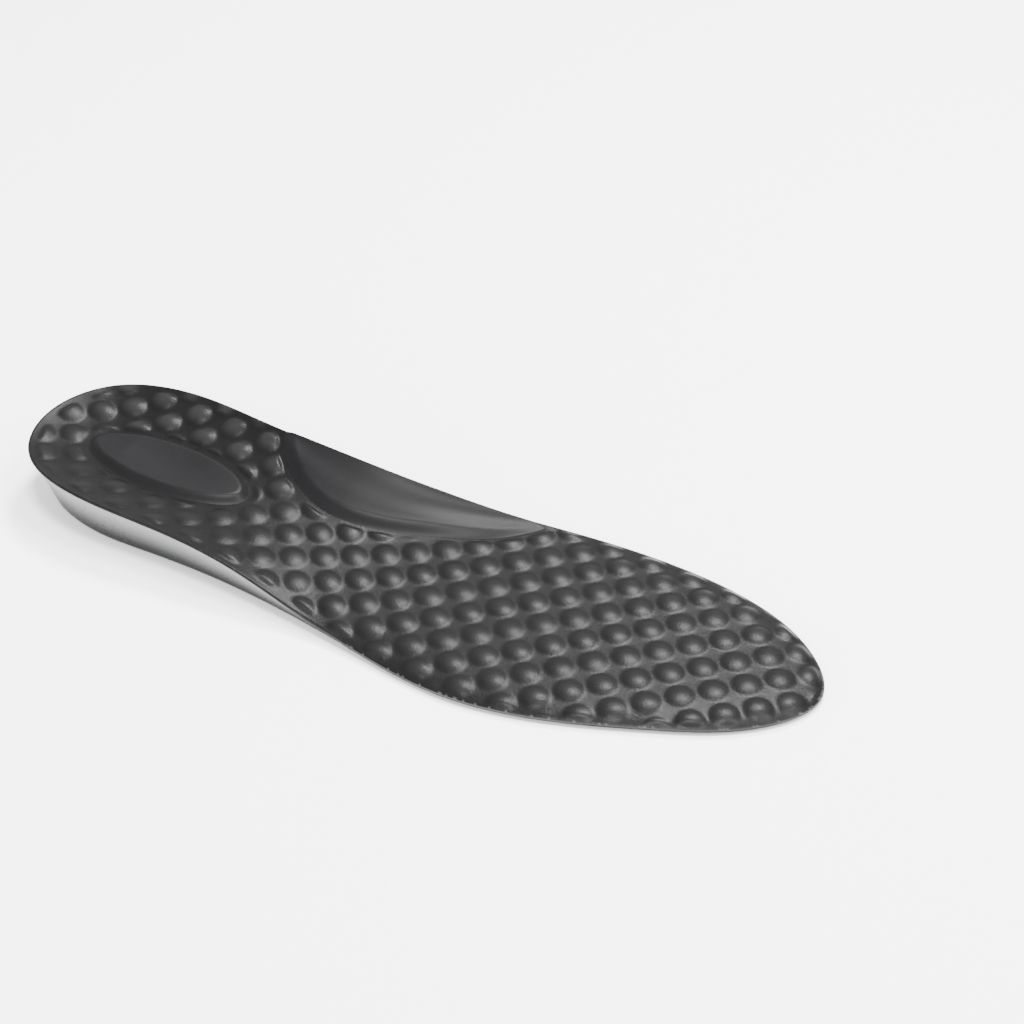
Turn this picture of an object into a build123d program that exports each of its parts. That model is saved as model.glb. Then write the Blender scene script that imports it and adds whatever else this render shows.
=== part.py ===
from build123d import *
import os
from math import hypot, radians, tan

# Cushioned insole for the right foot, with a built-in heel lift. Millimetres.
# +X runs from heel to toe, +Y to the inner (arch) side, +Z up. The origin is the middle of the
# flat underside. Every layer is cut from one flared body, so that the layers nest.

# Trimmed edge of the insole, station by station: x, outer edge y, inner edge y
stations = [
    (-124.0, -29.0, 13.8),
    (-102.0, -38.2, 22.9),
    (-70.0, -37.8, 22.3),
    (-40.0, -37.2, 21.6),
    (-14.0, -38.2, 25.6),
    (12.0, -41.0, 33.6),
    (38.0, -43.0, 40.4),
    (68.0, -37.0, 43.0),
    (98.0, -24.0, 39.6),
    (120.0, -10.6, 29.4),
]
heel_back = (-132.5, -7.5)
toe_tip = (132.5, 11.5)

# Height of the cover along the foot: heel cup, heel seat, slope, forefoot
top_line = [(-150.0, 22.0), (-108.0, 16.2), (-72.0, 14.2), (10.0, 3.8), (150.0, 3.4)]
top_radii = [60.0, 90.0, 90.0]

# Side wall: it flares outwards from the floor, and holds the trimmed edge at the rim height
flare = tan(radians(15.0))
heel_rim = 18.0
toe_rim = 3.0
body_height = 24.0

# Layers
cover_thickness = 1.0
foam_thickness = 6.0
tray_wall = 3.5
lining_thickness = 0.6
lining_inset = 2.0
lift_base = 1.2
lift_front_x = 4.0

# Forefoot flex line, across the ball of the foot
flex_x = 36.0
flex_gap = 0.5

# Raised pads, and what lies under them
heel_pad_centre = (-85.5, -8.0)
heel_pad_radii = (30.5, 13.0)
heel_pad_turn = 3.0
pad_rise = 1.8
pad_depth = 2.4
arch_slope = 0.26
arch_foot_y = 3.0
arch_pad_outline = [
    (-66.0, 30.0),
    (-57.0, 13.6),
    (-45.0, 5.0),
    (-31.0, 1.6),
    (-15.0, 5.4),
    (2.0, 14.0),
    (18.0, 24.0),
    (34.0, 44.0),
]
cushion_centre = (-97.0, -8.0)
cushion_radius = 11.0
cushion_bottom = 4.0
cushion_thickness = 6.0
shank_thickness = 1.2
shank_outline = [
    (-74.0, -15.0),
    (-74.0, 3.0),
    (-50.0, 9.0),
    (-22.0, 9.0),
    (-22.0, -15.0),
]

os.makedirs("parts", exist_ok=True)


def outline_points(height, inset):
    """The flared wall at a height, moved in by an inset: heel, outer side, toe, inner side."""
    outer = [(x, y_out) for x, y_out, y_in in stations]
    inner = [(x, y_in) for x, y_out, y_in in stations]
    points = [heel_back, *outer, toe_tip, *inner[::-1]]
    moved = []
    for index, (x, y) in enumerate(points):
        before = points[index - 1]
        after = points[(index + 1) % len(points)]
        run_x = after[0] - before[0]
        run_y = after[1] - before[1]
        toe_share = min(max((x + 100.0) / 110.0, 0.0), 1.0)
        rim = heel_rim + (toe_rim - heel_rim) * toe_share
        step = ((height - rim) * flare - inset) / hypot(run_x, run_y)
        moved.append((x + run_y * step, y - run_x * step))
    return moved


def flared_body(bottom, inset):
    """The space inside the flared wall, from a height up to above the rim."""
    with BuildPart() as body:
        for height in (bottom, body_height):
            with BuildSketch(Plane.XY.offset(height)):
                with BuildLine():
                    Spline(*outline_points(height, inset), periodic=True)
                make_face()
        loft(ruled=True)
    return body.part


def space_under_top(drop, side_slope=0.0):
    """Everything under the top line lowered by a drop, tilted up to the inner side by a slope."""
    half_width = 60.0
    below = -60.0
    lean = half_width * side_slope
    points = [(x, z - drop - lean) for x, z in top_line]
    with BuildPart() as body:
        with BuildSketch(Plane.XZ.offset(half_width)):
            with BuildLine():
                FilletPolyline(*points, radius=top_radii)
                Polyline(points[-1], (points[-1][0], below), (points[0][0], below), points[0])
            make_face()
        extrude(amount=2 * half_width, dir=(0, 1, side_slope))
    return body.part


def column(plan):
    """A tall upright column over a plan outline, through every layer."""
    with BuildPart() as body:
        with BuildSketch(Plane.XY.offset(lining_thickness)):
            add(plan)
        extrude(amount=body_height)
    return body.part


def save(builder, name):
    """Label a piece and write it."""
    builder.part.label = name
    export_step(builder.part, f"parts/{name}.step")


def save_halves(builder, name):
    """Cut a full-length layer at the flex line and write its two lengths."""
    with BuildPart() as rear:
        add(builder.part)
        split(bisect_by=Plane.YZ.offset(flex_x - flex_gap / 2), keep=Keep.BOTTOM)
    save(rear, f"{name}_rear")
    with BuildPart() as fore:
        add(builder.part)
        split(bisect_by=Plane.YZ.offset(flex_x + flex_gap / 2), keep=Keep.TOP)
    save(fore, f"{name}_fore")


full_body = flared_body(lining_thickness, 0)
tray_body = flared_body(lining_thickness + lift_base, tray_wall)
under_cover = space_under_top(cover_thickness)
under_foam = space_under_top(cover_thickness + foam_thickness)

# Plan outlines of the two raised pads and of the arch shank
with BuildSketch() as heel_pad_plan:
    with Locations(Location((*heel_pad_centre, 0), (0, 0, heel_pad_turn))):
        Ellipse(*heel_pad_radii)

with BuildSketch() as arch_pad_plan:
    with BuildLine():
        Spline(*arch_pad_outline)
        Polyline(arch_pad_outline[-1], (34.0, 60.0), (-66.0, 60.0), arch_pad_outline[0])
    make_face()

with BuildSketch() as shank_plan:
    with BuildLine():
        Polyline(*shank_outline, close=True)
    make_face()
    fillet(shank_plan.vertices(), radius=4.0)

# Smooth oval pad, standing proud of the cover under the heel bone
with BuildPart() as heel_pad:
    add(column(heel_pad_plan.sketch))
    add(space_under_top(-pad_rise), mode=Mode.INTERSECT)
    add(space_under_top(pad_depth), mode=Mode.SUBTRACT)
save(heel_pad, "heel_pad")

# Smooth arch support pad, which climbs from the middle of the foot to the inner edge
with BuildPart() as arch_pad:
    add(column(arch_pad_plan.sketch))
    add(full_body, mode=Mode.INTERSECT)
    add(space_under_top(arch_foot_y * arch_slope, arch_slope), mode=Mode.INTERSECT)
    add(space_under_top(pad_depth), mode=Mode.SUBTRACT)
save(arch_pad, "arch_pad")

# Thin top cover, with a window for each pad
with BuildPart() as top_cover:
    add(full_body)
    add(space_under_top(0), mode=Mode.INTERSECT)
    add(under_cover, mode=Mode.SUBTRACT)
    add([column(heel_pad_plan.sketch), column(arch_pad_plan.sketch)], mode=Mode.SUBTRACT)
save_halves(top_cover, "top_cover")

# Shock cushion, a puck let into the lift and the foam under the heel pad
with BuildPart() as heel_cushion:
    with BuildSketch(Plane.XY.offset(cushion_bottom)):
        with Locations(cushion_centre):
            Circle(cushion_radius)
    extrude(amount=cushion_thickness)
save(heel_cushion, "heel_cushion")

# Heel lift: a tapered wedge whose rim wraps the foam up to the cover
with BuildPart() as heel_lift:
    add(full_body)
    add(under_cover, mode=Mode.INTERSECT)
    split(bisect_by=Plane.YZ.offset(lift_front_x), keep=Keep.BOTTOM)
    add(tray_body - under_foam, mode=Mode.SUBTRACT)
    add([arch_pad.part, heel_cushion.part], mode=Mode.SUBTRACT)
save(heel_lift, "heel_lift")

# Springy shank that carries the arch, lying in the tray of the lift
with BuildPart() as arch_shank:
    add(column(shank_plan.sketch))
    add(tray_body, mode=Mode.INTERSECT)
    add(space_under_top(cover_thickness + foam_thickness - shank_thickness), mode=Mode.INTERSECT)
    add(under_foam, mode=Mode.SUBTRACT)
save(arch_shank, "arch_shank")

# Foam footbed, filling the body between the cover, the lift and the lining
with BuildPart() as footbed_foam:
    add(full_body)
    add(under_cover, mode=Mode.INTERSECT)
    add([heel_lift.part, heel_pad.part, arch_pad.part], mode=Mode.SUBTRACT)
    add([heel_cushion.part, arch_shank.part], mode=Mode.SUBTRACT)
save_halves(footbed_foam, "footbed_foam")

# Lining cloth under the whole length
with BuildPart() as lining:
    with BuildSketch():
        with BuildLine():
            Spline(*outline_points(0, lining_inset), periodic=True)
        make_face()
    extrude(amount=lining_thickness)
save_halves(lining, "lining")
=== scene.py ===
import math
import bpy
import bmesh
import numpy as np
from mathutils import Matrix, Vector
from mathutils.bvhtree import BVHTree


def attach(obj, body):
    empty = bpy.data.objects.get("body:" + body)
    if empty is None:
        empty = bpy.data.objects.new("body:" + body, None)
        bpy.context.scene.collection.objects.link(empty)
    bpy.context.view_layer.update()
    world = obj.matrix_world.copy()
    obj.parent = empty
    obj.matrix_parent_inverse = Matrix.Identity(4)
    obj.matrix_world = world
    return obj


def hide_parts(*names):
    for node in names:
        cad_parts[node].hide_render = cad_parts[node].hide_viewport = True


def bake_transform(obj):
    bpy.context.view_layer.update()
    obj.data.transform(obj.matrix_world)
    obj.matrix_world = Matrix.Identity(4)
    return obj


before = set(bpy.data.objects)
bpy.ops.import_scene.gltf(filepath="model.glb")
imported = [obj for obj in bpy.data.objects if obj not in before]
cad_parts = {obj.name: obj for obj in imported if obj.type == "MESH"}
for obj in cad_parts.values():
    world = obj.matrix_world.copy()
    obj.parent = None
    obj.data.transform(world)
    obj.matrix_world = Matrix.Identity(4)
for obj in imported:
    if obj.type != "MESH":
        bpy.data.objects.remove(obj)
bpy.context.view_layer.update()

# The insole is drawn in millimetres and written in metres. +X heel to toe, +Y inner side, +Z up.
mm = 0.001

# Trimmed edge, station by station: x, outer y, inner y, outer z, mid-line z, inner z
stations = [
    (-124.0, -29.0, 13.8, 18.8, 16.6, 18.9),
    (-102.0, -38.2, 22.9, 18.4, 14.0, 18.8),
    (-70.0, -37.8, 22.3, 16.4, 12.4, 18.6),
    (-40.0, -37.2, 21.6, 12.6, 9.8, 17.8),
    (-14.0, -38.2, 25.6, 6.0, 6.4, 13.4),
    (12.0, -41.0, 33.6, 2.6, 4.4, 7.0),
    (38.0, -43.0, 40.4, 2.2, 3.9, 3.6),
    (68.0, -37.0, 43.0, 2.2, 3.8, 2.6),
    (98.0, -24.0, 39.6, 2.2, 3.7, 2.3),
    (120.0, -10.6, 29.4, 2.2, 3.4, 2.2),
]
heelBack = (-132.5, -7.5, 19.2)
toeTip = (132.5, 11.5, 2.2)

shape = {
    "heelTurn": -101.0,      # the columns fan out round the heel behind this x
    "toeTurn": 92.0,         # and round the toe in front of this one
    "step": 0.6,             # mesh size along the sides
    "heelColumns": 160,
    "toeColumns": 210,
    "heelCup": (-30.0, 30.0),  # the cupped top turns flat between these x
    "cupPower": 2.2,
    "flatPower": 8.0,
    "weld": 0.002,
}


# curves and skins

def curveThrough(points, count, closed=False):
    # smooth curve through points, with matched bends at each of them
    pts = np.array(points, float)
    n = len(pts)
    spans = n if closed else n - 1
    nextPts = np.roll(pts, -1, axis=0)
    gap = np.linalg.norm((nextPts - pts)[:, :2], axis=1)[:spans]
    system, right = np.zeros((n, n)), np.zeros_like(pts)
    for i in range(n):
        if closed or 0 < i < n - 1:
            a, b = gap[i - 1], gap[i % spans]
            system[i, i - 1] += b
            system[i, i] += 2 * (a + b)
            system[i, (i + 1) % n] += a
            right[i] = 3 * (b * (pts[i] - pts[i - 1]) / a + a * (nextPts[i] - pts[i]) / b)
        else:
            j = 1 if i == 0 else n - 2
            k = 0 if i == 0 else n - 2
            system[i, i], system[i, j] = 2, 1
            right[i] = 3 * (pts[k + 1] - pts[k]) / gap[k]
    slope = np.linalg.solve(system, right)
    knots = np.concatenate([[0], np.cumsum(gap)])
    at = np.linspace(0, knots[-1], count, endpoint=not closed)
    seg = np.clip(np.searchsorted(knots, at, side="right") - 1, 0, spans - 1)
    h = gap[seg][:, None]
    t = ((at - knots[seg])[:, None]) / h
    p0, p1 = pts[seg], nextPts[seg]
    m0, m1 = slope[seg], slope[(seg + 1) % n]
    return ((2 * t**3 - 3 * t**2 + 1) * p0 + (t**3 - 2 * t**2 + t) * h * m0
            + (3 * t**2 - 2 * t**3) * p1 + (t**3 - t**2) * h * m1)


def smooth(value, low, high):
    t = np.clip((value - low) / (high - low), 0, 1)
    return t * t * (3 - 2 * t)


def meshPiece(name, points, faces, material, weld=0.0):
    mesh = bpy.data.meshes.new(name)
    mesh.from_pydata((np.asarray(points) * mm).tolist(), [], faces)
    obj = bpy.data.objects.new(name, mesh)
    bpy.context.collection.objects.link(obj)
    bm = bmesh.new()
    bm.from_mesh(mesh)
    if weld:
        bmesh.ops.remove_doubles(bm, verts=bm.verts, dist=weld * mm)
    bmesh.ops.dissolve_degenerate(bm, edges=bm.edges, dist=1e-7)
    bmesh.ops.recalc_face_normals(bm, faces=bm.faces)
    for face in bm.faces:
        face.smooth = True
    bm.to_mesh(mesh)
    bm.free()
    mesh.materials.append(material)
    return obj


def gridFaces(rows, cols, wrap):
    i = np.arange(rows - 1)[:, None]
    j = np.arange(cols if wrap else cols - 1)[None, :]
    k = (j + 1) % cols
    quads = np.stack([i * cols + j, i * cols + k, (i + 1) * cols + k, (i + 1) * cols + j], -1)
    return quads.reshape(-1, 4)


def ringPiece(name, rings, material):
    # closed skin through rings, from the top middle, over the edge, to the bottom middle
    rings = np.array(rings)
    rows, cols = rings.shape[:2]
    faces = gridFaces(rows, cols, True)
    return meshPiece(name, rings.reshape(-1, 3), faces.tolist(), material, weld=shape["weld"])


# the outline, its middle line and the smooth top

outerRow = [(x, yo, zo) for x, yo, yi, zo, zm, zi in stations]
innerRow = [(x, yi, zi) for x, yo, yi, zo, zm, zi in stations]
rimDense = curveThrough([heelBack] + outerRow + [toeTip] + innerRow[::-1], 6000, closed=True)
heelAt, toeAt = int(np.argmin(rimDense[:, 0])), int(np.argmax(rimDense[:, 0]))
rimDense = np.roll(rimDense, -heelAt, axis=0)
toeAt = (toeAt - heelAt) % len(rimDense)
outerRim, innerRim = rimDense[:toeAt + 1], np.vstack([rimDense[toeAt:], rimDense[:1]])[::-1]
midRow = [(-140.0, 19.0)] + [(x, zm) for x, yo, yi, zo, zm, zi in stations] + [(140.0, 3.0)]
midLine = curveThrough(midRow, 800)


def sideAt(rim, x):
    return np.stack([np.interp(x, rim[:, 0], rim[:, k]) for k in range(3)], -1)


def midAt(x):
    y = (np.interp(x, outerRim[:, 0], outerRim[:, 1]) + np.interp(x, innerRim[:, 0], innerRim[:, 1])) / 2
    return np.stack([x, y, np.interp(x, midLine[:, 0], midLine[:, 1])], -1)


def fan(rimPart, count):
    length = np.concatenate([[0], np.cumsum(np.linalg.norm(np.diff(rimPart[:, :2], axis=0), axis=1))])
    at = np.linspace(0, length[-1], count)
    return np.stack([np.interp(at, length, rimPart[:, k]) for k in range(3)], -1)


def makeColumns():
    # rim points anticlockwise from the inner side of the heel, and the middle point under each
    turn, front = shape["heelTurn"], shape["toeTurn"]
    xs = np.arange(turn, front, shape["step"])
    heelPart = np.vstack([innerRim[innerRim[:, 0] < turn][::-1], outerRim[outerRim[:, 0] < turn]])
    toePart = np.vstack([outerRim[outerRim[:, 0] > front], innerRim[innerRim[:, 0] > front][::-1]])
    heelEnds = np.vstack([sideAt(innerRim, turn)[None], heelPart, sideAt(outerRim, turn)[None]])
    toeEnds = np.vstack([sideAt(outerRim, xs[-1])[None], toePart, sideAt(innerRim, xs[-1])[None]])
    heelFan, toeFan = fan(heelEnds, shape["heelColumns"]), fan(toeEnds, shape["toeColumns"])
    around = [heelFan[:-1], sideAt(outerRim, xs)[:-1], toeFan[:-1], sideAt(innerRim, xs[::-1])[:-1]]
    rimPoints = np.vstack(around)
    return rimPoints, midAt(np.clip(rimPoints[:, 0], turn, xs[-1]))


rim, middle = makeColumns()
heelShare = 1 - smooth(rim[:, 0], *shape["heelCup"])
bendPower = shape["cupPower"] * heelShare + shape["flatPower"] * (1 - heelShare)
outward = rim[:, :2] - middle[:, :2]
reach = np.linalg.norm(outward, axis=1)
tangent = np.roll(rim, -1, axis=0) - np.roll(rim, 1, axis=0)
wallOut = np.stack([tangent[:, 1], -tangent[:, 0]], -1)
wallOut /= np.linalg.norm(wallOut, axis=1)[:, None]


def topRing(share, lift=0.0):
    share = np.broadcast_to(share, len(rim))
    plan = middle[:, :2] + outward * share[:, None]
    z = middle[:, 2] + (rim[:, 2] - middle[:, 2]) * share**bendPower + lift
    return np.column_stack([plan, z])


def edgeRing(out, z):
    # ring outside the rim by an amount, at a height
    plan = rim[:, :2] + wallOut * np.broadcast_to(out, len(rim))[:, None]
    return np.column_stack([plan, np.broadcast_to(z, len(rim))])


smoothRings = np.array([topRing(s) for s in np.linspace(0, 1, 40)])
smoothTop = BVHTree.FromPolygons(smoothRings.reshape(-1, 3).tolist(),
                                 gridFaces(40, len(rim), True).tolist())


def topHeight(points):
    # height of the smooth top under plan points; past the rim, the height of the nearest point
    heights = []
    for x, y in points:
        hit = smoothTop.ray_cast(Vector((x, y, 60.0)), Vector((0, 0, -1)))
        if hit[0] is None:
            hit = smoothTop.find_nearest(Vector((x, y, 10.0)))
        heights.append(hit[0].z)
    return np.array(heights)


# pads in plan

heelPad = {
    "x": -85.5, "y": -8.0, "long": 30.5, "wide": 13.0, "turn": math.radians(3.0),
    "rise": 2.3, "shoulder": 4.2, "dish": 0.5, "dishEnd": 0.75,
    "sunk": 0.25,  # how far the edge of the pad lies below the top
    "hidden": ((1.0, 1.0), (0.95, 2.2), (0.0, 2.4)),  # rings under the cover: share, depth
    "columns": 180, "rings": 44,
}
archPad = {
    "edge": [(-66.0, 30.0), (-57.0, 13.6), (-45.0, 5.0), (-31.0, 1.6), (-15.0, 5.4),
             (2.0, 14.0), (18.0, 24.0), (34.0, 44.0)],
    "rise": 2.3, "shoulder": 5.0, "sunk": 0.2,
    "frontFade": (-8.0, 30.0), "frontLoss": 0.85,  # the pad thins out towards the ball
    "rimFade": (0.4, 1.0), "rimLoss": 0.6,         # and towards the trimmed edge
    "lip": ((0.35, -0.25), (0.55, -0.7), (0.5, -1.3)),  # over the edge: out, down
    "lipStart": 0.3, "taper": 9.0,
    "hidden": (2.4, 2.0),  # underside: inwards, down
    "step": 0.7, "rows": 56,
}
archEdge = curveThrough(archPad["edge"], 500)


def ovalDistance(x, y):
    # 1 on the edge of the heel pad, less inside
    c, s = math.cos(heelPad["turn"]), math.sin(heelPad["turn"])
    dx, dy = x - heelPad["x"], y - heelPad["y"]
    return np.hypot((c * dx + s * dy) / heelPad["long"], (c * dy - s * dx) / heelPad["wide"])


def archInside(x, y):
    # distance into the arch pad from its edge curve, negative outside
    x, y = np.asarray(x, float), np.asarray(y, float)
    edge = archEdge[::6, :2]
    away = np.full(x.shape, 1e9)
    for (ax, ay), (bx, by) in zip(edge[:-1], edge[1:]):
        dx, dy = bx - ax, by - ay
        along = np.clip(((x - ax) * dx + (y - ay) * dy) / (dx * dx + dy * dy), 0, 1)
        away = np.minimum(away, np.hypot(x - ax - along * dx, y - ay - along * dy))
    edgeY = np.interp(x, edge[:, 0], edge[:, 1], left=1e9, right=1e9)
    return np.where(y > edgeY, away, -away)


# massage domes

domes = {
    "pitch": 10.0, "radius": 4.4, "height": 1.12, "soften": 0.22, "x": 20.9, "y": 25.0,
    "padFade": 1.6, "rimFade": 2.4, "heelMargin": 1.6,
    "drift": 5.9, "driftFade": (-50.0, 15.0),  # the rows drift to the inner side towards the heel
    "share": 0.69, "vary": 0.07, "scatter": (12.9898, 78.233),
    "innerGain": 0.38, "outerLoss": 0.14,      # taller inside, lower outside, at the heel
}


def domeHeight(points):
    # round caps with a soft foot, on a square grid turned 45 degrees to the foot
    drift = domes["drift"] * (1 - smooth(points[:, 0], *domes["driftFade"]))
    x, y = points[:, 0], points[:, 1] - drift
    side = domes["pitch"] * math.sqrt(2)
    u = ((x - domes["x"]) + (y - domes["y"])) / side
    v = ((x - domes["x"]) - (y - domes["y"])) / side
    cu, cv = np.round(u), np.round(v)
    cap = 1 - (np.hypot(u - cu, v - cv) * domes["pitch"] / domes["radius"])**2
    soft = domes["soften"]
    cap = (cap + np.sqrt(cap**2 + soft**2)) / (1 + math.sqrt(1 + soft**2))
    scatter = domes["scatter"]
    gridVary = domes["share"] + domes["vary"] * np.sin(cu * scatter[0] + cv * scatter[1])
    gridVary += domes["innerGain"] * smooth(y, -12.0, 2.0) * (1 - smooth(x, -60.0, -30.0))
    gridVary -= domes["outerLoss"] * (1 - smooth(y, -26.0, -14.0)) * (1 - smooth(x, -40.0, 0.0))
    fade = smooth((ovalDistance(points[:, 0], points[:, 1]) - 1) * heelPad["wide"], 0.0, domes["padFade"])
    fade = fade * smooth(-archInside(points[:, 0], points[:, 1]), 0.0, domes["padFade"])
    return cap * domes["height"] * gridVary * fade


# shader groups shared by the materials

def newGroup(name, inputs, outputs):
    group = bpy.data.node_groups.new(name, "ShaderNodeTree")
    for label, default in inputs:
        socket = group.interface.new_socket(label, in_out="INPUT", socket_type="NodeSocketFloat")
        socket.default_value = default
    for label in outputs:
        group.interface.new_socket(label, in_out="OUTPUT", socket_type="NodeSocketFloat")
    return group, group.nodes.new("NodeGroupInput"), group.nodes.new("NodeGroupOutput")


def mathNode(tree, operation, first, second):
    node = tree.nodes.new("ShaderNodeMath")
    node.operation = operation
    for socket, value in zip(node.inputs, (first, second)):
        if isinstance(value, (int, float)):
            socket.default_value = value
        else:
            tree.links.new(value, socket)
    return node.outputs[0]


def noiseNode(tree, vector, scale, detail):
    node = tree.nodes.new("ShaderNodeTexNoise")
    node.inputs["Detail"].default_value = detail
    tree.links.new(vector, node.inputs["Vector"])
    if isinstance(scale, (int, float)):
        node.inputs["Scale"].default_value = scale
    else:
        tree.links.new(scale, node.inputs["Scale"])
    return node.outputs["Fac"]


def makeSkinGrain():
    # pebbled skin: small cells with fine creases between, and a slow mottle
    group, given, out = newGroup("skinGrain", [("Cells", 1800.0), ("Crease", 0.5)], ["Height", "Mottle"])
    place = group.nodes.new("ShaderNodeTexCoord").outputs["Object"]
    cells = group.nodes.new("ShaderNodeTexVoronoi")
    cells.feature = "SMOOTH_F1"
    cells.inputs["Randomness"].default_value = 0.9
    group.links.new(place, cells.inputs["Vector"])
    group.links.new(given.outputs["Cells"], cells.inputs["Scale"])
    fine = noiseNode(group, place, 5200.0, 3.0)
    crease = mathNode(group, "MULTIPLY", cells.outputs["Distance"], given.outputs["Crease"])
    height = mathNode(group, "SUBTRACT", mathNode(group, "MULTIPLY", fine, 0.35), crease)
    slow = noiseNode(group, place, 60.0, 4.0)
    quick = noiseNode(group, place, 420.0, 3.0)
    slowPart, quickPart = mathNode(group, "MULTIPLY", slow, 0.6), mathNode(group, "MULTIPLY", quick, 0.4)
    mottle = mathNode(group, "ADD", slowPart, quickPart)
    group.links.new(height, out.inputs["Height"])
    group.links.new(mottle, out.inputs["Mottle"])
    return group


def makeDust():
    # scattered pale specks and a faint film
    group, given, out = newGroup("dustSpecks", [("Amount", 0.5), ("Size", 900.0)], ["Mask"])
    place = group.nodes.new("ShaderNodeTexCoord").outputs["Object"]
    specks = noiseNode(group, place, given.outputs["Size"], 2.0)
    film = noiseNode(group, place, 35.0, 5.0)
    sharp = group.nodes.new("ShaderNodeMapRange")
    sharp.inputs["From Min"].default_value = 0.66
    sharp.inputs["From Max"].default_value = 0.78
    group.links.new(specks, sharp.inputs["Value"])
    both = mathNode(group, "ADD", mathNode(group, "MULTIPLY", film, 0.25), sharp.outputs["Result"])
    group.links.new(mathNode(group, "MULTIPLY", both, given.outputs["Amount"]), out.inputs["Mask"])
    return group


def makeWeave():
    # fine knitted rows, for the lining
    group, given, out = newGroup("knitRows", [("Rows", 900.0)], ["Height", "Tone"])
    place = group.nodes.new("ShaderNodeTexCoord").outputs["Object"]
    parts = group.nodes.new("ShaderNodeSeparateXYZ")
    group.links.new(place, parts.inputs["Vector"])
    waves = []
    for axis, share in (("X", 1.0), ("Y", 1.7)):
        along = mathNode(group, "MULTIPLY", parts.outputs[axis], given.outputs["Rows"])
        waves.append(mathNode(group, "SINE", mathNode(group, "MULTIPLY", along, 2 * math.pi * share), 0.0))
    loops = mathNode(group, "MULTIPLY", waves[0], waves[1])
    fuzz = noiseNode(group, place, 2500.0, 3.0)
    height = mathNode(group, "ADD", loops, mathNode(group, "MULTIPLY", fuzz, 0.8))
    group.links.new(height, out.inputs["Height"])
    group.links.new(fuzz, out.inputs["Tone"])
    return group


skinGrain, dustSpecks, knitRows = makeSkinGrain(), makeDust(), makeWeave()


def placeGroup(tree, group, **values):
    node = tree.nodes.new("ShaderNodeGroup")
    node.node_tree = group
    for label, value in values.items():
        node.inputs[label].default_value = value
    return node


def rangeNode(tree, value, low, high):
    node = tree.nodes.new("ShaderNodeMapRange")
    node.inputs["To Min"].default_value = low
    node.inputs["To Max"].default_value = high
    tree.links.new(value, node.inputs["Value"])
    return node.outputs["Result"]


def mixColour(tree, factor, first, second):
    node = tree.nodes.new("ShaderNodeMix")
    node.data_type = "RGBA"
    tree.links.new(factor, node.inputs["Factor"])
    for socket, value in ((node.inputs["A"], first), (node.inputs["B"], second)):
        if isinstance(value, tuple):
            socket.default_value = (*value, 1.0)
        else:
            tree.links.new(value, socket)
    return node.outputs["Result"]


def skinMaterial(name, look):
    # moulded synthetic skin: mottled colour, painted highlight on the dome crowns and along the cut edge,
    # pebbled grain, a little dust
    material = bpy.data.materials.new(name)
    material.use_nodes = True
    tree = material.node_tree
    surface = tree.nodes["Principled BSDF"]
    grain = placeGroup(tree, skinGrain, Cells=look["cells"], Crease=look["crease"])
    dust = placeGroup(tree, dustSpecks, Amount=look["dust"], Size=1100.0)
    colour = mixColour(tree, grain.outputs["Mottle"], look["dark"], look["light"])
    # painted highlight: this attribute lightens the dome crowns, the cut edge and the top of the lift wall
    paintedSheen = tree.nodes.new("ShaderNodeAttribute")
    paintedSheen.attribute_name = "paintedSheen"
    colour = mixColour(tree, paintedSheen.outputs["Fac"], colour, look["paintedSheen"])
    colour = mixColour(tree, dust.outputs["Mask"], colour, (0.30, 0.30, 0.31))
    tree.links.new(colour, surface.inputs["Base Color"])
    rough = rangeNode(tree, grain.outputs["Mottle"], *look["roughness"])
    tree.links.new(rough, surface.inputs["Roughness"])
    bump = tree.nodes.new("ShaderNodeBump")
    bump.inputs["Strength"].default_value = look["bump"]
    bump.inputs["Distance"].default_value = look["bumpDepth"]
    tree.links.new(grain.outputs["Height"], bump.inputs["Height"])
    tree.links.new(bump.outputs["Normal"], surface.inputs["Normal"])
    surface.inputs["IOR"].default_value = 1.5
    surface.inputs["Specular IOR Level"].default_value = look["specular"]
    return material


# the third colour of each look is the colour of its painted highlight
coverSkin = skinMaterial("coverSkin", {
    "dark": (0.0015, 0.0015, 0.0016), "light": (0.0045, 0.0045, 0.0047), "paintedSheen": (0.05, 0.05, 0.0515),
    "roughness": (0.28, 0.38), "cells": 1900.0, "crease": 0.55, "bump": 0.55, "bumpDepth": 0.00012,
    "dust": 0.010, "specular": 0.07})
padSkin = skinMaterial("padSkin", {
    "dark": (0.0028, 0.0028, 0.003), "light": (0.0055, 0.0055, 0.006), "paintedSheen": (0.03, 0.03, 0.032),
    "roughness": (0.36, 0.45), "cells": 2600.0, "crease": 0.35, "bump": 0.3, "bumpDepth": 0.00008,
    "dust": 0.008, "specular": 0.075})
foamSkin = skinMaterial("foamSkin", {
    "dark": (0.022, 0.022, 0.023), "light": (0.05, 0.05, 0.052), "paintedSheen": (0.06, 0.06, 0.062),
    "roughness": (0.6, 0.8), "cells": 3200.0, "crease": 0.9, "bump": 0.6, "bumpDepth": 0.0002,
    "dust": 0.02, "specular": 0.12})
shankSkin = skinMaterial("shankSkin", {
    "dark": (0.05, 0.05, 0.055), "light": (0.08, 0.08, 0.085), "paintedSheen": (0.08, 0.08, 0.085),
    "roughness": (0.4, 0.5), "cells": 900.0, "crease": 0.2, "bump": 0.1, "bumpDepth": 0.00005,
    "dust": 0.02, "specular": 0.5})


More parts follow.
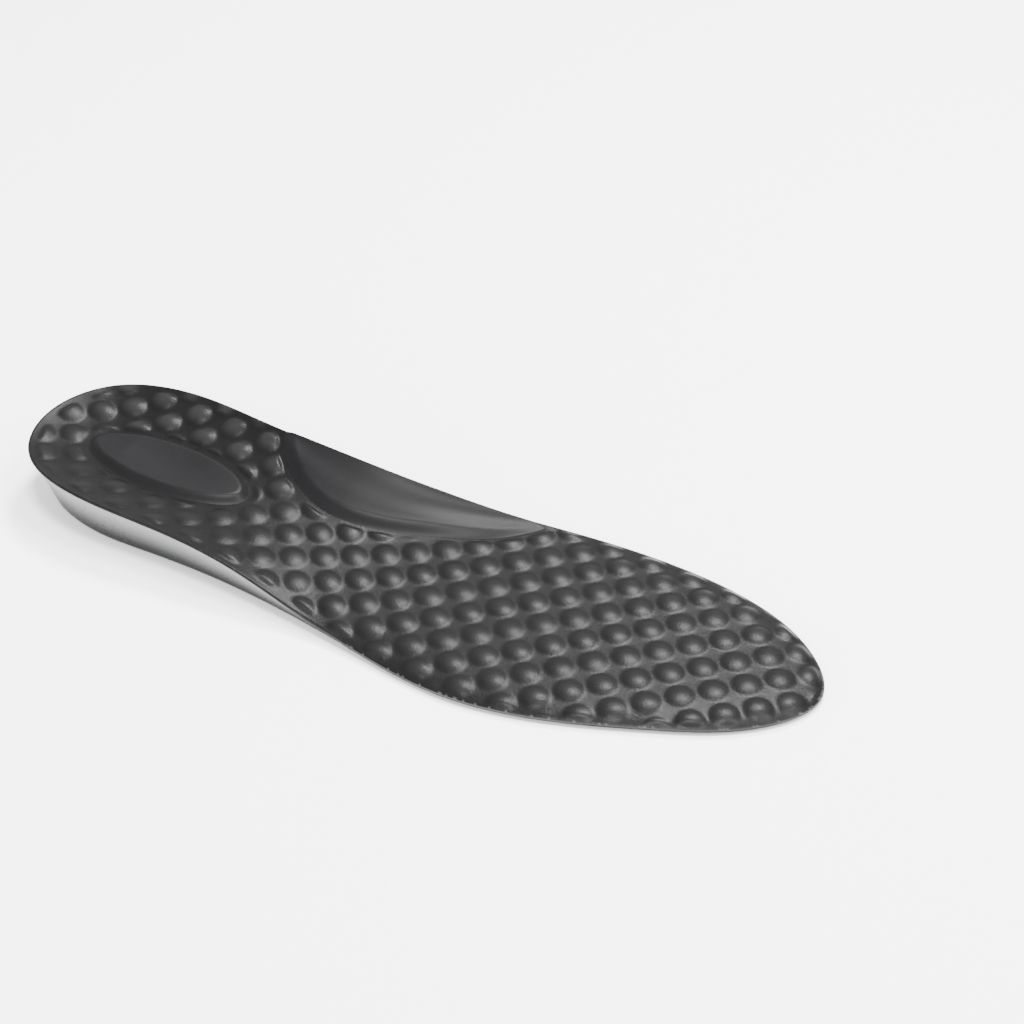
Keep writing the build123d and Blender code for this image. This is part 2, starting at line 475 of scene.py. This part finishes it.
def wallMaterial():
    # smooth skin of the lift: a painted reflection of the floor makes it paler under the rim, and painted
    # shade makes it darker towards its foot
    material = bpy.data.materials.new("liftSkin")
    material.use_nodes = True
    tree = material.node_tree
    surface = tree.nodes["Principled BSDF"]
    grain = placeGroup(tree, skinGrain, Cells=2600.0, Crease=0.3)
    height = tree.nodes.new("ShaderNodeAttribute")
    height.attribute_name = "paintedSheen"
    # painted reflection of the floor: dark at the foot of the wall, pale at its top
    paintedReflection = mixColour(tree, height.outputs["Fac"], (0.010, 0.010, 0.0105), (0.21, 0.21, 0.214))
    colour = mixColour(tree, rangeNode(tree, grain.outputs["Mottle"], 0.0, 0.04), paintedReflection, (0.02, 0.02, 0.02))
    tree.links.new(colour, surface.inputs["Base Color"])
    tree.links.new(rangeNode(tree, grain.outputs["Mottle"], 0.24, 0.32), surface.inputs["Roughness"])
    bump = tree.nodes.new("ShaderNodeBump")
    bump.inputs["Strength"].default_value = 0.02
    bump.inputs["Distance"].default_value = 0.00005
    tree.links.new(grain.outputs["Height"], bump.inputs["Height"])
    tree.links.new(bump.outputs["Normal"], surface.inputs["Normal"])
    surface.inputs["Coat Weight"].default_value = 0.02
    surface.inputs["Specular IOR Level"].default_value = 0.07
    surface.inputs["Coat Roughness"].default_value = 0.15
    return material


def liningMaterial():
    material = bpy.data.materials.new("liningCloth")
    material.use_nodes = True
    tree = material.node_tree
    surface = tree.nodes["Principled BSDF"]
    knit = placeGroup(tree, knitRows, Rows=900.0)
    colour = mixColour(tree, knit.outputs["Tone"], (0.030, 0.030, 0.033), (0.085, 0.085, 0.09))
    tree.links.new(colour, surface.inputs["Base Color"])
    tree.links.new(rangeNode(tree, knit.outputs["Tone"], 0.75, 0.95), surface.inputs["Roughness"])
    bump = tree.nodes.new("ShaderNodeBump")
    bump.inputs["Strength"].default_value = 0.6
    bump.inputs["Distance"].default_value = 0.00025
    tree.links.new(knit.outputs["Height"], bump.inputs["Height"])
    tree.links.new(bump.outputs["Normal"], surface.inputs["Normal"])
    surface.inputs["Sheen Weight"].default_value = 0.3
    return material


liftSkin, liningCloth = wallMaterial(), liningMaterial()
print("materials made")


def setPaintedSheen(obj, values):
    # how pale each vertex is: painted highlight on the crowns of the domes and the cut edge, painted
    # reflection at the top of the wall
    attribute = obj.data.attributes.new("paintedSheen", "FLOAT", "POINT")
    attribute.data.foreach_set("value", np.asarray(values, np.float32))


def vertexArray(obj):
    flat = np.zeros(len(obj.data.vertices) * 3)
    obj.data.vertices.foreach_get("co", flat)
    return flat.reshape(-1, 3) / mm


def bendsAtBall(obj):
    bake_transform(obj)


# top cover: thin sheet with domes

cover = {
    "thick": 1.0, "dip": 0.8, "dipSlope": (1.0, 3.0),  # it dips under the pads
    "lip": ((0.18, -0.12), (0.30, -0.38), (0.28, -0.7), (0.1, -0.95)),  # cut edge: out, down
    "rings": 66, "underShares": (0.995, 0.93, 0.8, 0.5, 0.0),
    # how strong the painted highlight is on the dome crowns and along the cut edge
    "crownHighlightPaint": 0.15, "edgeHighlightPaint": 0.8,
}


def makeCover():
    rings = []
    margin = domes["heelMargin"] * heelShare
    for share in np.linspace(0, 1, cover["rings"]):
        ring = topRing(share)
        toRim = reach * (1 - share)
        edgeFade = smooth(toRim, margin, margin + domes["rimFade"])
        underHeelPad = (1 - ovalDistance(ring[:, 0], ring[:, 1])) * heelPad["wide"]
        underArchPad = archInside(ring[:, 0], ring[:, 1])
        archDip = smooth(underArchPad, *cover["dipSlope"]) * smooth(toRim, 0.5, 2.5)
        dip = np.maximum(smooth(underHeelPad, *cover["dipSlope"]), archDip)
        ring[:, 2] += domeHeight(ring) * edgeFade - cover["dip"] * dip
        rings.append(ring)
    for out, fall in cover["lip"]:
        rings.append(edgeRing(out, rim[:, 2] + fall))
    for share in cover["underShares"]:
        rings.append(topRing(share, -cover["thick"] - cover["dip"] * (share < 0.9)))
    piece = ringPiece("topCover", rings, coverSkin)
    points = vertexArray(piece)
    below = topHeight(points[:, :2]) - points[:, 2]
    # painted highlight along the cut edge towards the front, and on the dome crowns
    edgeHighlight = smooth(below, 0.15, 0.4) * (1 - smooth(below, 0.86, 0.97)) * smooth(points[:, 0], -30.0, 20.0)
    paintedSheen = np.clip(domeHeight(points) / domes["height"], 0, 1)**2
    setPaintedSheen(piece, paintedSheen * cover["crownHighlightPaint"] + cover["edgeHighlightPaint"] * edgeHighlight)
    return piece


topCover = makeCover()
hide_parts("top_cover_rear", "top_cover_fore")
bendsAtBall(topCover)
print("cover made")

# oval heel pad


def makeHeelPad():
    angle = np.linspace(0, 2 * math.pi, heelPad["columns"], endpoint=False)
    c, s = math.cos(heelPad["turn"]), math.sin(heelPad["turn"])
    px, py = heelPad["long"] * np.cos(angle), heelPad["wide"] * np.sin(angle)
    oval = np.column_stack([c * px - s * py, s * px + c * py])
    centre = np.array([heelPad["x"], heelPad["y"]])
    rings = []
    spread = np.hypot(np.cos(angle) / heelPad["long"], np.sin(angle) / heelPad["wide"])
    for share in np.linspace(0, 1.0, heelPad["rings"]):
        plan = centre + oval * share
        # a soft shoulder, and a shallow dish in the middle
        crest = heelPad["rise"] * smooth((1 - share) / spread, 0.0, heelPad["shoulder"])
        dish = heelPad["dish"] * (1 - smooth(share, 0.0, heelPad["dishEnd"]))
        rings.append(np.column_stack([plan, topHeight(plan) + crest - dish - heelPad["sunk"]]))
    for share, fall in heelPad["hidden"]:
        plan = centre + oval * share
        rings.append(np.column_stack([plan, topHeight(plan) - fall]))
    piece = ringPiece("heelPad", rings, padSkin)
    setPaintedSheen(piece, np.zeros(len(piece.data.vertices)))
    return piece


heelPadPiece = makeHeelPad()
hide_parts("heel_pad")
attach(heelPadPiece, "rear_half")
print("heel pad made")

# arch support pad


def makeArchPad():
    xs = np.arange(archEdge[0, 0], archEdge[-1, 0], archPad["step"])
    edgeY = np.interp(xs, archEdge[:, 0], archEdge[:, 1])
    rimAt = sideAt(innerRim, xs)
    xs, edgeY, rimAt = (a[edgeY < rimAt[:, 1] - 0.5] for a in (xs, edgeY, rimAt))
    frontFade = 1 - archPad["frontLoss"] * smooth(xs, *archPad["frontFade"])
    top = []
    for share in np.linspace(0, 1, archPad["rows"]):
        plan = np.column_stack([xs, edgeY + (rimAt[:, 1] - edgeY) * share])
        rise = archPad["rise"] * smooth(archInside(plan[:, 0], plan[:, 1]), 0.0, archPad["shoulder"])
        rise *= frontFade * (1 - archPad["rimLoss"] * smooth(share, *archPad["rimFade"]))
        top.append(np.column_stack([plan, topHeight(plan - [0, 0.02]) + rise - archPad["sunk"]]))
    taper, start = archPad["taper"], archPad["lipStart"]
    ends = smooth(xs, xs[0], xs[0] + taper) * (1 - smooth(xs, xs[-1] - taper, xs[-1]))
    lip = []
    for out, fall in archPad["lip"]:
        plan = np.column_stack([xs, rimAt[:, 1] - start + (out + start) * ends])
        lip.append(np.column_stack([plan, top[-1][:, 2] + fall * ends - start * (1 - ends)]))
    inwards, down = archPad["hidden"]
    under = [row - [0, inwards, down] for row in top[::-6]]
    rows = np.array(top + lip + under).transpose(1, 0, 2)
    count = rows.shape[1]
    faces = gridFaces(len(xs), count, True).tolist()
    faces += [list(range(count))[::-1], [(len(xs) - 1) * count + k for k in range(count)]]
    piece = meshPiece("archPad", rows.reshape(-1, 3), faces, padSkin)
    setPaintedSheen(piece, np.zeros(len(piece.data.vertices)))
    return piece


archPadPiece = makeArchPad()
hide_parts("arch_pad")
bendsAtBall(archPadPiece)
print("arch pad made")

# heel lift, footbed foam and lining

lift = {
    "under": 1.05,  # top of the wall, below the trimmed edge
    "floor": 0.6, "inset": 0.55, "corner": 1.5, "fullCorner": 8.0,
    "tray": 3.6, "trayFall": 1.9, "lipWidth": 1.2, "lipFall": 1.5,
    "footbedDepth": 7.0, "footbedFloor": 1.8,
    "frontOuter": 4.0, "frontInner": 6.0, "frontWidth": 70.0, "frontStart": -40.0,
    "wallSteps": (1.0, 0.97, 0.85, 0.7, 0.55, 0.4, 0.28, 0.18, 0.12, 0.08, 0.04, 0.015, 0.0),
    "flareBack": 0.33, "flareLoss": 0.11,  # it leans in more at the back than along the sides
}
foam = {"gap": 0.4, "fall": 0.9, "frontRise": 0.85, "front": (-2.0, 4.0),
        "topShares": (0.0, 0.3, 0.6, 0.8), "sideSteps": (0.92, 0.6, 0.3, 0.08, 0.0)}
lining = {"inset": 2.2, "top": 0.6, "shares": (0.0, 0.5, 0.97)}

wallFlare = lift["flareBack"] - lift["flareLoss"] * smooth(rim[:, 0], -134.0, -84.0)
footbedFloor = np.maximum(middle[:, 2] - lift["footbedDepth"], lift["footbedFloor"])


def wallRings(topZ):
    # wall that leans in towards the floor, with a rounded bottom corner
    bend, bottomZ = lift["corner"], lift["floor"]
    rings = []
    for part in lift["wallSteps"]:
        z = bottomZ + (topZ - bottomZ) * part
        above = np.clip(z - bottomZ, 0, bend)
        corner = bend - np.sqrt(np.maximum(bend**2 - (bend - above)**2, 0))
        corner *= np.clip((topZ - bottomZ) / lift["fullCorner"], 0, 1)
        rings.append(edgeRing(-lift["inset"] - (rim[:, 2] - z) * wallFlare - corner, z))
    return rings


def makeLift():
    topZ = np.maximum(rim[:, 2] - lift["under"], lift["floor"] + 0.4)
    rings = [np.column_stack([middle[:, :2], footbedFloor])]
    trayShare = 1 - lift["tray"] / reach
    lipShare = 1 - lift["lipWidth"] / reach
    belowTop = topRing(trayShare, -lift["trayFall"])
    trayFloor = np.minimum(footbedFloor, belowTop[:, 2] - 0.1)
    floorShare = trayShare - 0.02 - (rim[:, 2] - trayFloor) * wallFlare / reach
    rings.append(np.column_stack([topRing(floorShare)[:, :2], trayFloor]))
    rings.append(np.column_stack([belowTop[:, :2], np.maximum(belowTop[:, 2], lift["floor"] + 0.3)]))
    lip = topRing(lipShare, -lift["lipFall"])
    rings.append(np.column_stack([lip[:, :2], np.minimum(lip[:, 2], topZ)]))
    rings += wallRings(topZ)
    rings.append(np.column_stack([middle[:, :2], np.full(len(rim), lift["floor"])]))
    piece = ringPiece("heelLift", rings, liftSkin)
    # the front end: a slanting cut, closed by filling the section
    bm = bmesh.new()
    bm.from_mesh(piece.data)
    slope = (lift["frontInner"] - lift["frontOuter"]) / lift["frontWidth"]
    slant = Vector((1.0, -slope, 0.0)).normalized()
    cut = bmesh.ops.bisect_plane(bm, geom=bm.verts[:] + bm.edges[:] + bm.faces[:],
                                 plane_co=(lift["frontOuter"] * mm, lift["frontStart"] * mm, 0),
                                 plane_no=slant, clear_outer=True)
    bmesh.ops.holes_fill(bm, edges=[e for e in cut["geom_cut"] if isinstance(e, bmesh.types.BMEdge)])
    bm.to_mesh(piece.data)
    bm.free()
    points = vertexArray(piece)
    away = np.hypot(points[:, :1] - rim[None, :, 0], points[:, 1:2] - rim[None, :, 1])
    top = rim[np.argmin(away, axis=1), 2] - lift["under"]
    height = (points[:, 2] - lift["floor"]) / np.maximum(top - lift["floor"], 2.0)
    # painted reflection: paler towards the top of the wall, fading towards the front end
    setPaintedSheen(piece, smooth(height, 0.16, 1.05) * (1 - 0.75 * smooth(points[:, 0], -40.0, 4.0)))
    return piece


heelLift = makeLift()
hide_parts("heel_lift")
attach(heelLift, "rear_half")


def makeFoam():
    # in the tray of the lift behind, out to the edge in front of it
    front = smooth(rim[:, 0], *foam["front"])
    inset = (lift["tray"] + foam["gap"]) * (1 - front) + foam["gap"] * front
    floorZ = footbedFloor * (1 - front) + lift["floor"] * front
    topZ = topRing(1 - inset / reach, -cover["thick"] - foam["fall"] + foam["frontRise"] * front)[:, 2]
    rings = [topRing(share, -cover["thick"] - foam["fall"]) for share in foam["topShares"]]
    rings.append(edgeRing(-inset - foam["gap"], topZ))
    for part in foam["sideSteps"]:
        z = floorZ + (topZ - floorZ) * part
        rings.append(edgeRing(-inset - (rim[:, 2] - z) * wallFlare - foam["gap"] * (part == 0.0), z))
    rings.append(np.column_stack([middle[:, :2], floorZ]))
    piece = ringPiece("footbedFoam", rings, foamSkin)
    setPaintedSheen(piece, np.zeros(len(piece.data.vertices)))
    return piece


footbedFoam = makeFoam()
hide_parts("footbed_foam_rear", "footbed_foam_fore")
bendsAtBall(footbedFoam)


def makeLining():
    def ring(share, z, out=0.0):
        edge = edgeRing(-lining["inset"] - rim[:, 2] * wallFlare + out, z)
        return np.column_stack([middle[:, :2] + (edge[:, :2] - middle[:, :2]) * share, edge[:, 2]])
    rings = [ring(share, lining["top"]) for share in lining["shares"]]
    rings += [ring(1.0, 0.5), ring(1.0, 0.3, 0.08), ring(1.0, 0.1)]
    rings += [ring(share, 0.0) for share in lining["shares"][::-1]]
    return ringPiece("liningSheet", rings, liningCloth)


liningSheet = makeLining()
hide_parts("lining_rear", "lining_fore")
bendsAtBall(liningSheet)
print("lift, foam and lining made")

# inner pieces keep their CAD shape
for node, skin in (("heel_cushion", foamSkin), ("arch_shank", shankSkin)):
    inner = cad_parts[node]
    for slot in inner.material_slots:
        slot.material = skin

# camera, floor and light

view = {"azimuth": 31.0, "elevation": 37.4, "distance": 0.6667,
        "aim": (0.0195, 0.0287, 0.0130), "lens": 75.9}
studio = {"floorSize": 6.0, "floorWhite": (0.95, 0.95, 0.95, 1), "floorRough": 0.9, "world": 1.5}


def makeCamera():
    a, e = math.radians(view["azimuth"]), math.radians(view["elevation"])
    back = Vector((math.sin(a) * math.cos(e), -math.cos(a) * math.cos(e), math.sin(e)))
    data = bpy.data.cameras.new("camera")
    data.lens = view["lens"]
    data.clip_start = 0.01
    obj = bpy.data.objects.new("camera", data)
    bpy.context.collection.objects.link(obj)
    obj.location = Vector(view["aim"]) + back * view["distance"]
    obj.rotation_euler = back.to_track_quat("Z", "Y").to_euler()
    bpy.context.scene.camera = obj


def makeFloor():
    mesh = bpy.data.meshes.new("floor")
    size = studio["floorSize"]
    corners = [(-size, -size, 0), (size, -size, 0), (size, size, 0), (-size, size, 0)]
    mesh.from_pydata(corners, [], [(0, 1, 2, 3)])
    obj = bpy.data.objects.new("floor", mesh)
    bpy.context.collection.objects.link(obj)
    material = bpy.data.materials.new("paleFloor")
    material.use_nodes = True
    surface = material.node_tree.nodes["Principled BSDF"]
    surface.inputs["Base Color"].default_value = studio["floorWhite"]
    surface.inputs["Roughness"].default_value = studio["floorRough"]
    mesh.materials.append(material)


lights = [
    # name, direction from the insole, distance, size, power
    ("backSoftbox", (-0.08, 0.56, 0.82), 1.3, 0.28, 36.0),
    ("topSoftbox", (0.46, 0.20, 0.87), 1.2, 0.32, 15.0),
    ("overheadSoftbox", (0.14, -0.13, 0.98), 1.3, 0.30, 28.0),
    ("rightSoftbox", (0.85, 0.22, 0.50), 1.2, 0.45, 16.0),
    ("frontFill", (-0.25, -0.95, 0.40), 1.5, 0.90, 36.0),
]


def makeLights():
    for name, direction, distance, size, power in lights:
        data = bpy.data.lights.new(name, "AREA")
        data.size = size
        data.energy = power
        obj = bpy.data.objects.new(name, data)
        bpy.context.collection.objects.link(obj)
        along = Vector(direction).normalized()
        obj.location = along * distance
        obj.rotation_euler = along.to_track_quat("Z", "Y").to_euler()
    world = bpy.data.worlds.new("studio")
    world.use_nodes = True
    background = world.node_tree.nodes["Background"]
    background.inputs["Color"].default_value = (1, 1, 1, 1)
    background.inputs["Strength"].default_value = studio["world"]
    bpy.context.scene.world = world


makeCamera()
makeFloor()
makeLights()
